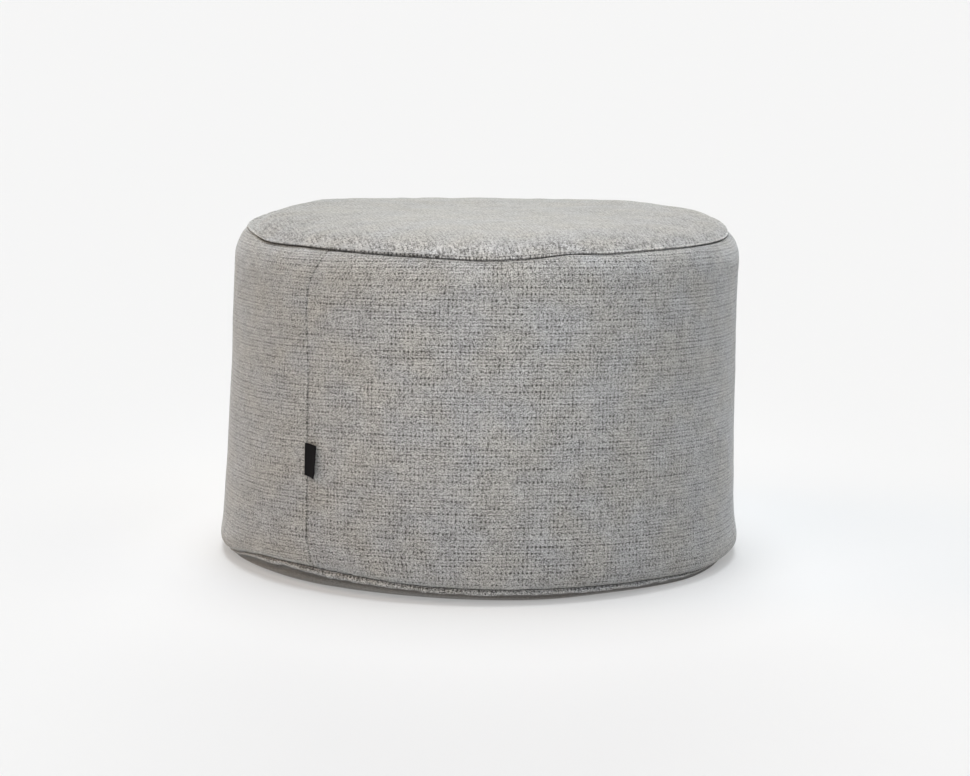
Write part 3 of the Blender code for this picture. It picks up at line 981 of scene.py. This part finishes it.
bottom_sewing = pair(along_round(BOTTOM_SEAM_RADIUS), closed(arc_lengths(bottom_surface)))
bottom = make_skin("underside_cloth", bottom_surface, bottom_flat(), bottom_sewing, bottom_shade_map())
roll_faces = (ROLL_ROWS - 1) * len(round_turns)

# %% [markdown]
# ## The stitches
#
# A topstitch is one short loop of thread that lies on the cloth and dives into it at both ends.
# Each is modelled as a small arched tube, and a loop lays them one after another along the seam.

# %% Thread tubes
TUBE_SIDES = 6
TUBE_ENDS = 0.45  # how thin it is at its two ends


def join_rows(builder, rows, ring=False):
    """Join rows of corners with quads. The last corner of a ring joins its first."""
    for one, two in zip(rows, rows[1:]):
        for corner in range(len(one) - (not ring)):
            after = (corner + 1) % len(one)
            builder.faces.new((one[corner], one[after], two[after], two[corner]))


def add_tube(builder, path, radius):
    """A closed tube of thread along a short path."""
    rings = []
    for index, place in enumerate(path):
        ahead = (path[min(index + 1, len(path) - 1)] - path[max(index - 1, 0)]).normalized()
        side = ahead.cross(Vector((0, 0, 1)))
        side = side.normalized() if side.length > 0.1 else ahead.cross(Vector((1, 0, 0))).normalized()
        over = side.cross(ahead)
        thick = radius * (TUBE_ENDS if index in (0, len(path) - 1) else 1.0)
        corners = [2 * math.pi * corner / TUBE_SIDES for corner in range(TUBE_SIDES)]
        rings.append([builder.verts.new(place + (side * math.cos(turn) + over * math.sin(turn)) * thick)
                      for turn in corners])
    join_rows(builder, rings, ring=True)
    builder.faces.new(rings[0][::-1])
    builder.faces.new(rings[-1])


def finish_mesh(builder, name):
    bmesh.ops.recalc_face_normals(builder, faces=builder.faces[:])
    mesh = bpy.data.meshes.new(name)
    builder.to_mesh(mesh)
    builder.free()
    return add_piece(name, mesh)


# %% Lay the topstitching
TOPSTITCH = 0.0041  # from hole to hole
TOPSTITCH_THREAD = 0.00042
TOPSTITCH_SHOWN = 0.70  # the share of each stitch that lies on the cloth
STITCH_ARCH = 0.00050
STITCH_BEDDED = 0.0004  # how deep its ends lie in the cloth
STITCH_SUNK = 0.0012  # where the cloth closes over the stitches
STITCH_PATH = (-1.0, -0.72, -0.3, 0.3, 0.72, 1.0)  # shares of half its length


def sew_top():
    builder = bmesh.new()
    count = round(2 * math.pi * TOP_SEAM_RADIUS / TOPSTITCH)
    for stitch in range(count):
        middle = 360 * (stitch + 0.5) / count + SIDE_SEAM_HOME
        path = []
        for share in STITCH_PATH:
            azimuth = middle + share * 180 / count * TOPSTITCH_SHOWN
            out, up, _ = edge_place(STITCH_ROW, azimuth)
            sunk = STITCH_SUNK * (1 - eased(2 * round_table(azimuth, stitches_shown)))
            lift = STITCH_ARCH * (1 - share ** 4) - STITCH_BEDDED - sunk
            radius = TOP_SEAM_RADIUS + out + 0.8 * lift
            path.append(Vector(drum_point(azimuth, radius, top_seam(azimuth) + up + 0.5 * lift)))
        add_tube(builder, path, TOPSTITCH_THREAD)
    return finish_mesh(builder, "topstitching")


topstitching = sew_top()

# %% [markdown]
# ## The label
#
# A short woven tape is folded in half and its two ends are caught in the upright seam, so a small
# loop stands out of the seam. It droops a little and twists: its foot lifts further from the wall
# than its head does. Its faces are bare.

# %% The label's tape
LABEL_REACH = 0.0138  # from the seam to the fold
LABEL_ROOT = 0.0010
LABEL_CLEARANCE = 0.0007
LABEL_LAYERS_APART = 0.0011
LABEL_THICKNESS = 0.0005
LABEL_TOP = 0.1428
LABEL_FOOT = 0.1118
LABEL_ROWS = 22
LABEL_DROOP = (0.0012, 0.0016)
LABEL_LIFT = (5.0, 16.0)  # degrees, at the head and the foot
LABEL_STEPS = 9
LABEL_BEND = (1.5, 1.3)  # how the droop grows outwards, and the lift downwards


def label_section(lift):
    """The loop of tape: (along, out) from the seam, out along the back layer, round, and back."""
    gap = LABEL_LAYERS_APART / 2
    straight = LABEL_REACH - gap
    places = [(-LABEL_ROOT + (straight + LABEL_ROOT) * s, 0.0) for s in np.linspace(0, 1, LABEL_STEPS)]
    for turn in np.radians(np.linspace(-90, 90, LABEL_STEPS))[1:-1]:
        places.append((straight + gap * math.cos(turn), gap + gap * math.sin(turn)))
    places += [(along, 2 * gap) for along, _ in places[LABEL_STEPS - 1::-1]]
    leaned = []
    for along, out in places:
        turn = math.radians(lift) * max(along, 0) / LABEL_REACH
        leaned.append((along * math.cos(turn), out + along * math.sin(turn)))
    return leaned


def wall_place(azimuth, height):
    """The wall's place at an azimuth and height, without its seam groove."""
    column = np.argmin(np.abs(degrees_from(wall_azimuths(height), azimuth)))
    x, y, heights = wall_points[:, column].T
    row = np.argmin(np.abs(heights - height))
    return Vector(drum_point(azimuth, np.hypot(x[row] - axis_shift(heights[row]), y[row]), height))


def part_way(ends, share):
    return ends[0] + share * (ends[1] - ends[0])


def make_label():
    builder = bmesh.new()
    rows = []
    for share in np.linspace(0, 1, LABEL_ROWS):
        height = part_way((LABEL_TOP, LABEL_FOOT), share)
        azimuth = float(seam_azimuth(height))
        along, out = Vector(outwards(azimuth + 90)), Vector(outwards(azimuth))
        seam = wall_place(azimuth, height)
        line = []
        for reach, lifted in label_section(part_way(LABEL_LIFT, share ** LABEL_BEND[1])):
            place = seam + along * reach + out * (lifted + LABEL_CLEARANCE)
            place.z -= part_way(LABEL_DROOP, share) * (max(reach, 0) / LABEL_REACH) ** LABEL_BEND[0]
            line.append(builder.verts.new(place))
        rows.append(line)
    join_rows(builder, rows)
    return finish_mesh(builder, "label_tape")


label = make_label()
thicken = label.modifiers.new("tape", "SOLIDIFY")
thicken.thickness = LABEL_THICKNESS
thicken.offset = 0

# %% [markdown]
# ## Materials
#
# The cloth is a soft, slightly hairy weave. Its rows carry fine pinholes, four millimetres apart,
# and the yarn is uneven: some stretches of a row are open and dark, others close up. All of it is
# worked out by nodes from the flat cloth map, in metres, so it has its real size on every panel.

# %% Short ways to add nodes


class Number:
    """A number that nodes work out. A sum written with it adds the nodes that do the sum."""

    def __init__(self, bench, socket):
        self.bench, self.socket = bench, socket

    def __add__(self, other):
        return self.bench.maths("ADD", self, other)

    def __sub__(self, other):
        return self.bench.maths("SUBTRACT", self, other)

    def __rsub__(self, other):
        return self.bench.maths("SUBTRACT", other, self)

    def __mul__(self, other):
        return self.bench.maths("MULTIPLY", self, other)

    def __truediv__(self, other):
        return self.bench.maths("DIVIDE", self, other)

    def __pow__(self, other):
        return self.bench.maths("POWER", self, other)


class Bench:
    """Adds nodes to one tree. A value may be a figure, a colour, a Number or a node's output."""

    def __init__(self, tree):
        self.tree = tree

    def node(self, kind, **settings):
        made = self.tree.nodes.new("ShaderNode" + kind)
        for key, value in settings.items():
            setattr(made, key, value)
        return made

    def feed(self, socket, value):
        value = value.socket if isinstance(value, Number) else value
        if isinstance(value, bpy.types.NodeSocket):
            self.tree.links.new(value, socket)
        else:
            socket.default_value = value

    def work_out(self, made, values, answer=0):
        """Feed a node its values in order, and take its answer."""
        for socket, value in zip(made.inputs, values):
            self.feed(socket, value)
        return Number(self, made.outputs[answer])

    def fill(self, made, **values):
        """Feed a node its values by name, with _ for a space, and take its answer."""
        for title, value in values.items():
            self.feed(made.inputs[title.replace("_", " ")], value)
        return Number(self, made.outputs[0])

    def maths(self, operation, *values, clamp=False):
        return self.work_out(self.node("Math", operation=operation, use_clamp=clamp), values)

    def ramp(self, value, low=0.0, high=1.0, to_low=0.0, to_high=1.0):
        return self.work_out(self.node("MapRange", clamp=True), (value, low, high, to_low, to_high))

    def join(self, x, y, z=0.0):
        return self.work_out(self.node("CombineXYZ"), (x, y, z))

    def split(self, vector):
        made = self.node("SeparateXYZ")
        return self.work_out(made, (vector,)), Number(self, made.outputs[1])

    def map_of(self, title):
        return self.node("UVMap", uv_map=title).outputs[0]

    def noise(self, vector, detail=1.0, roughness=0.5):
        made = self.node("TexNoise", noise_dimensions="3D")
        return self.fill(made, Scale=1.0, Detail=detail, Roughness=roughness, Vector=vector)

    def speck(self, vector):
        return self.work_out(self.node("TexWhiteNoise", noise_dimensions="3D"), (vector,), "Value")

    def pattern(self, kind, scale, **settings):
        """A texture laid out in the piece's own coordinates."""
        where = self.node("TexCoord").outputs["Object"]
        return self.fill(self.node(kind, **settings), Scale=scale, Vector=where)

    def blend(self, share, one, two):
        made = self.node("Mix", data_type="RGBA")
        for socket, value in ((0, share), (6, one), (7, two)):
            self.feed(made.inputs[socket], value)
        return made.outputs[2]

    def bump(self, height, depth):
        return self.fill(self.node("Bump"), Distance=depth, Height=height)

    def finish(self, surface):
        self.feed(self.node("OutputMaterial").inputs[0], surface)

    def cover(self, **looks):
        """Finish the material as one plain surface with these looks."""
        self.finish(self.fill(self.node("BsdfPrincipled"), **looks))


def new_material(name):
    material = bpy.data.materials.new(name)
    material.use_nodes = True
    material.node_tree.nodes.clear()
    return material, Bench(material.node_tree)


# %% [markdown]
# ### The weave
#
# One node group works out the weave for every panel. It gives a tone, which darkens the pinholes
# and lightens the raised yarn, and a height for the relief.

# %% The weave group
HOLE_PITCH = 0.00402  # from pinhole to pinhole along a row
ROW_PITCH = 0.00610  # from row to row
BAND_PITCH = 0.046  # from one open band of rows to the next


def make_weave():
    group = bpy.data.node_groups.new("chenille weave", "ShaderNodeTree")
    for title, way, kind in (("Cloth", "INPUT", "Vector"), ("Lines", "INPUT", "Float"),
                             ("Tone", "OUTPUT", "Float"), ("Height", "OUTPUT", "Float")):
        group.interface.new_socket(title, in_out=way, socket_type="NodeSocket" + kind)
    bench = Bench(group)
    given = group.nodes.new("NodeGroupInput")
    result = group.nodes.new("NodeGroupOutput")
    u, v = bench.split(given.outputs[0])
    lines = given.outputs[1]

    def patches(along, across, shift, detail=1.0, roughness=0.5):
        """Unevenness in patches of this size, between -0.5 and 0.5."""
        return bench.noise(bench.join(u / along, v / across, shift), detail, roughness) - 0.5

    # the yarns wander a little from their straight lines
    a = (u + patches(0.020, 0.050, 3.1) * 0.0016) / HOLE_PITCH
    b = (v + patches(0.045, 0.020, 9.4) * 0.0020) / ROW_PITCH
    double_b = b * 2.0
    hole_number, row_number, pick_number = (bench.maths("FLOOR", value) for value in (a, b, double_b))

    def peak(value, sharpness):
        """1 in the middle of each repeat, falling to 0 at its ends."""
        aside = bench.maths("ABSOLUTE", bench.maths("FRACT", value) - 0.5)
        return (1.0 - aside * 2.0) ** sharpness

    def along_rows(number, length, shift, detail=1.0):
        """Unevenness that runs along each row for about this length, and changes with every row."""
        return bench.noise(bench.join(u / length, number * 3.7, shift), detail)

    # pinholes, open in some stretches of a row and closed in others
    stretch = along_rows(row_number, 0.030, 1.7, 2.0)
    each = bench.ramp(bench.speck(bench.join(hole_number, row_number, 0.5)), to_high=1.3)
    strength = bench.ramp(stretch, 0.36, 0.60, 0.20, 1.0) * each
    hole = peak(a, 3.6) * peak(b, 4.6) * strength

    # the picks: two soft raised yarns to every row of holes, lighter in long stretches
    pick = bench.ramp(along_rows(pick_number, 0.030, 8.8), 0.34, 0.66, 0.15, 1.0)
    slub = bench.ramp(along_rows(pick_number, 0.0016, 4.4), 0.34, 0.66)
    ridge = peak(double_b, 1.6) * pick * slub
    gap = peak(b + 0.5, 5.0) * bench.ramp(along_rows(row_number, 0.016, 6.1), 0.36, 0.66)
    line = peak(b, 5.0) * bench.ramp(stretch, 0.3, 0.7, 0.2, 1.0)

    # the warp pulls fine upright lines through the picks, in patches
    warp_pull = bench.noise(bench.join(hole_number * 2.9, v / 0.016, 5.9))
    warp = peak(a, 2.2) * bench.ramp(warp_pull, 0.45, 0.70)
    strand = patches(0.0022, 0.0009, 5.5)
    fuzz = patches(0.0010, 0.0010, 2.2, roughness=0.7)
    patch = patches(0.018, 0.016, 7.7, detail=2.0)

    # in level bands the rows draw apart, and the lines between the picks show
    wave = v / BAND_PITCH + patches(0.09, 0.06, 6.6) * 1.2
    band = bench.maths("ADD", peak(wave, 1.3), patches(0.05, 0.02, 1.2) * 1.2, clamp=True)
    between = peak(double_b + 0.5, 2.0) - 0.3

    # how much each of them darkens or lightens the yarn, and how far it stands up
    darkening = line * 0.06 + between * band * 0.16 + gap * 0.05 + warp * 0.17 - ridge * 0.20
    tone = 0.50 - darkening * lines + strand * 0.8 + fuzz * 2.2 + patch * 0.28
    tone = bench.maths("SUBTRACT", tone, hole * 2.5, clamp=True)
    height = ridge * 0.6 - hole * 0.9 - gap * 0.3 + fuzz * 0.5
    for socket, value in zip(result.inputs, (tone, height)):
        bench.feed(socket, value)
    return group


weave = make_weave()

# %% The cloth's materials
YARN_DARK = (0.060, 0.057, 0.053, 1)
YARN_LIGHT = (0.680, 0.673, 0.660, 1)
# the underside's plain backing cloth, kept dark so that it also paints in the shade under the roll
BACKING_DARK = (0.12, 0.11, 0.10, 1)
BACKING_LIGHT = (0.26, 0.245, 0.23, 1)
TINT_WARM = (1.014, 1.002, 0.962, 1)
TINT_COOL = (0.984, 0.997, 1.012, 1)
STITCH_SPREAD = 0.0009  # how far from its needle holes the painted shade of a line of stitches reaches
THREAD_TWIST = 900  # how fine the pattern is, as in the next line
TAPE_RIBS, TAPE_SPECKLE = 620, 1800
TAPE_RELIEF = 0.0001
KNOTS_AND_SHADE_FADE = 0.10  # the knots of the yarn, darker on average near the seam so that they paint shade along the top's edge, fade over this much of a round


def sewing_shade(bench, along, aside, pitch, between):
    """Painted shade along a line of stitches: deepest at its needle holes, and `between` between them."""
    near = aside / STITCH_SPREAD
    near = bench.maths("EXPONENT", near * near * -1.0)
    hole = bench.maths("ABSOLUTE", bench.maths("FRACT", along / pitch) * 2.0 - 1.0)
    return near * bench.ramp(hole, 0.25, 0.85, between)


# stitch gives the pitch and the painted shade between needle holes; depth is how strong the painted shade
# at the holes is
def cloth_material(name, lines, relief, dark=YARN_DARK, light=YARN_LIGHT, contrast=1.0, knots_and_edge_shade=0.0,
                   stitch=(TOPSTITCH, 0.0), depth=0.0):
    material, bench = new_material(name)
    u, v = bench.split(bench.map_of(CLOTH_MAP))
    along, inside = bench.split(bench.map_of(SEAM_MAP))
    deep, shown = bench.split(bench.map_of(SHADE_MAP))
    woven = bench.node("Group", node_tree=weave)
    tone = bench.work_out(woven, (bench.map_of(CLOTH_MAP), lines))
    tone = tone * contrast - 0.50 * (contrast - 1)
    # knots speckle the yarn, and near the seam they darken it on average: painted shade along the top's
    # edge
    knot_speckle_and_shade = bench.noise(bench.join(u / 0.0018, v / 0.0060, 4.7))
    knot_speckle_and_shade = bench.ramp(knot_speckle_and_shade, 0.36, 0.56, -1.0, 0.35)
    knot_speckle_and_shade = knot_speckle_and_shade * bench.ramp(inside, 0.0, KNOTS_AND_SHADE_FADE, 1.8 * knots_and_edge_shade, 0.5 * knots_and_edge_shade)
    # painted shade at the needle holes
    holes = sewing_shade(bench, along, inside, *stitch) * (shown * depth)
    # the holes' painted shade and the Shade map's painted shade come off the tone; below 0 that map
    # paints a highlight
    tone = bench.maths("SUBTRACT", tone + knot_speckle_and_shade, holes + deep * 0.5, clamp=True)
    broad = bench.noise(bench.join(u / 0.045, v / 0.04, 2.9))
    tint = bench.blend(bench.ramp(broad, 0.35, 0.65), TINT_WARM, TINT_COOL)
    colour = bench.work_out(bench.node("VectorMath", operation="MULTIPLY"),
                            (bench.blend(tone, dark, light), tint))
    bench.cover(Base_Color=colour, Normal=bench.bump(woven.outputs[1], relief), Roughness=0.92,
                Specular_IOR_Level=0.15, Sheen_Weight=0.45, Sheen_Roughness=0.5)
    return material


def thread_material(name, colour):
    material, bench = new_material(name)
    twist = bench.pattern("TexWave", THREAD_TWIST, wave_type="BANDS", bands_direction="DIAGONAL")
    shade = bench.blend(twist, tuple(c * 0.75 for c in colour[:3]) + (1,), colour)
    bench.cover(Base_Color=shade, Roughness=0.7)
    return material


def tape_material(name, dark, light):
    """Fine woven tape: close ribs across it, and a satin face."""
    material, bench = new_material(name)
    ribs = bench.pattern("TexWave", TAPE_RIBS, wave_type="BANDS", bands_direction="Z")
    colour = bench.blend(ribs * bench.pattern("TexNoise", TAPE_SPECKLE), dark, light)
    bench.cover(Base_Color=colour, Normal=bench.bump(ribs, TAPE_RELIEF), Roughness=0.75,
                Specular_IOR_Level=0.12)
    return material


for piece, material in (
        (wall, cloth_material("wall weave", 1.0, 0.0005, stitch=(SEAM_STITCH, 0.45), depth=0.34)),
        (top, cloth_material("top weave", 0.5, 0.0003, knots_and_edge_shade=0.16, depth=1.0)),
        (bottom, cloth_material("rolled edge weave", 1.0, 0.0004, contrast=1.5)),
        (bottom, cloth_material("underside backing", 0.6, 0.0002, BACKING_DARK, BACKING_LIGHT)),
        (topstitching, thread_material("grey thread", (0.42, 0.415, 0.40, 1))),
        (label, tape_material("black tape", (0.004, 0.004, 0.005, 1), (0.014, 0.013, 0.014, 1)))):
    piece.data.materials.append(material)
zones = np.ones(len(bottom.data.polygons), dtype=np.int32)
zones[:roll_faces] = 0
bottom.data.polygons.foreach_set("material_index", zones)
print("Materials:", ", ".join(sorted(material.name for material in bpy.data.materials)))

# %% [markdown]
# ## The studio
#
# The footstool stands on a plain pale floor that runs far back, so no edge of it shows. Soft light
# comes from above and behind, and a weaker, warmer light from the left. Three soft spot lights in
# front shine on the wall's upper half, so the wall dims a little towards its foot.

# %% Floor and lights
FLOOR_SIZE = 120.0
FLOOR_COLOUR = (0.50, 0.50, 0.50, 1)
FLOOR_GLOW = 0.322  # stands for the light that the walls of the room send back
SUN_SOFTNESS = math.radians(28)
SUNS = [
    # azimuth, elevation, power, colour
    (0, 88, 1.61, (0.95, 1.01, 1.045)),
    (180, 70, 1.06, (0.99, 0.99, 1.02)),
    (-45, 50, 0.41, (1.13, 0.98, 0.89)),
    (45, 50, 0.14, (0.67, 0.95, 1.39)),
    (90, 50, 0.28, (1.11, 1.02, 0.88)),
    (-90, 30, 0.31, (1.50, 0.98, 0.50)),
    (180, 10, 1.82, (0.98, 1.025, 0.99)),
]
SPOT_PLACE = (-1.6, 1.15)  # y and height
SPOT_CONE = math.radians(20)
SPOT_RADIUS = 0.25
SPOT_AIM = -0.25  # the y of the wall's front
SPOTS = [
    # x, x that it aims at, height that it aims at, power, colour
    (0.0, 0.0, 0.22, 53.7, (1.025, 0.99, 0.985)),
    (0.0, 0.0, 0.34, 20.0, (1.055, 1.04, 0.90)),
    (0.21, 0.14, 0.34, 11.7, (0.78, 0.985, 1.25)),
]
ROOM_COLOUR = (0.92, 0.92, 0.92, 1)
ROOM_GLOW = 0.02


def make_floor():
    mesh = bpy.data.meshes.new("floor")
    half = FLOOR_SIZE / 2
    corners = [(-half, -half, 0), (half, -half, 0), (half, half, 0), (-half, half, 0)]
    mesh.from_pydata(corners, [], [(0, 1, 2, 3)])
    material, bench = new_material("pale floor")
    paint = bench.fill(bench.node("BsdfDiffuse"), Color=FLOOR_COLOUR)
    glow = bench.fill(bench.node("Emission"), Strength=FLOOR_GLOW)
    bench.finish(bench.work_out(bench.node("AddShader"), (paint, glow)))
    mesh.materials.append(material)
    put_in("floor", mesh)


def hang(kind, name, power, colour, towards):
    """Hang a light that shines away from the direction `towards`."""
    light = bpy.data.lights.new(name, kind)
    light.energy = power
    light.color = colour
    lamp = put_in(name, light)
    lamp.rotation_euler = towards.to_track_quat("Z", "Y").to_euler()
    return lamp


def add_sun(azimuth, elevation, power, colour):
    towards = Vector(drum_point(azimuth, math.cos(math.radians(elevation)), 0.0))
    towards.z = math.sin(math.radians(elevation))
    hang("SUN", "soft sun", power, colour, towards).data.angle = SUN_SOFTNESS


def add_spot(x, aim_x, aim_height, power, colour):
    place = Vector((x, *SPOT_PLACE))
    lamp = hang("SPOT", "soft spot", power, colour, place - Vector((aim_x, SPOT_AIM, aim_height)))
    lamp.location = place
    lamp.data.spot_size = SPOT_CONE
    lamp.data.spot_blend = 1.0
    lamp.data.shadow_soft_size = SPOT_RADIUS


make_floor()
for sun in SUNS:
    add_sun(*sun)
for spot in SPOTS:
    add_spot(*spot)

world = bpy.data.worlds.new("studio")
world.use_nodes = True
for socket, value in zip(world.node_tree.nodes["Background"].inputs, (ROOM_COLOUR, ROOM_GLOW)):
    socket.default_value = value
bpy.context.scene.world = world
bpy.context.scene.view_settings.view_transform = "Standard"
print("The studio has", len(SUNS) + len(SPOTS), "lights")

# %% [markdown]
# ## Fasten the pieces to the model
#
# Every skin stands for one solid: it is attached to the root body, and its solid is hidden. The
# panels are stuffed. The label is a flat piece of tape.

# %% Attach each skin and hide its solid
for piece, node, slot in ((wall, "side_panel", "side_cloth"), (top, "top_panel", "top_cloth"),
                          (bottom, "bottom_panel", "underside_cloth"), (label, "label", "label_tape")):
    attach(piece, "root")
    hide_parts(node)
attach(topstitching, "root")
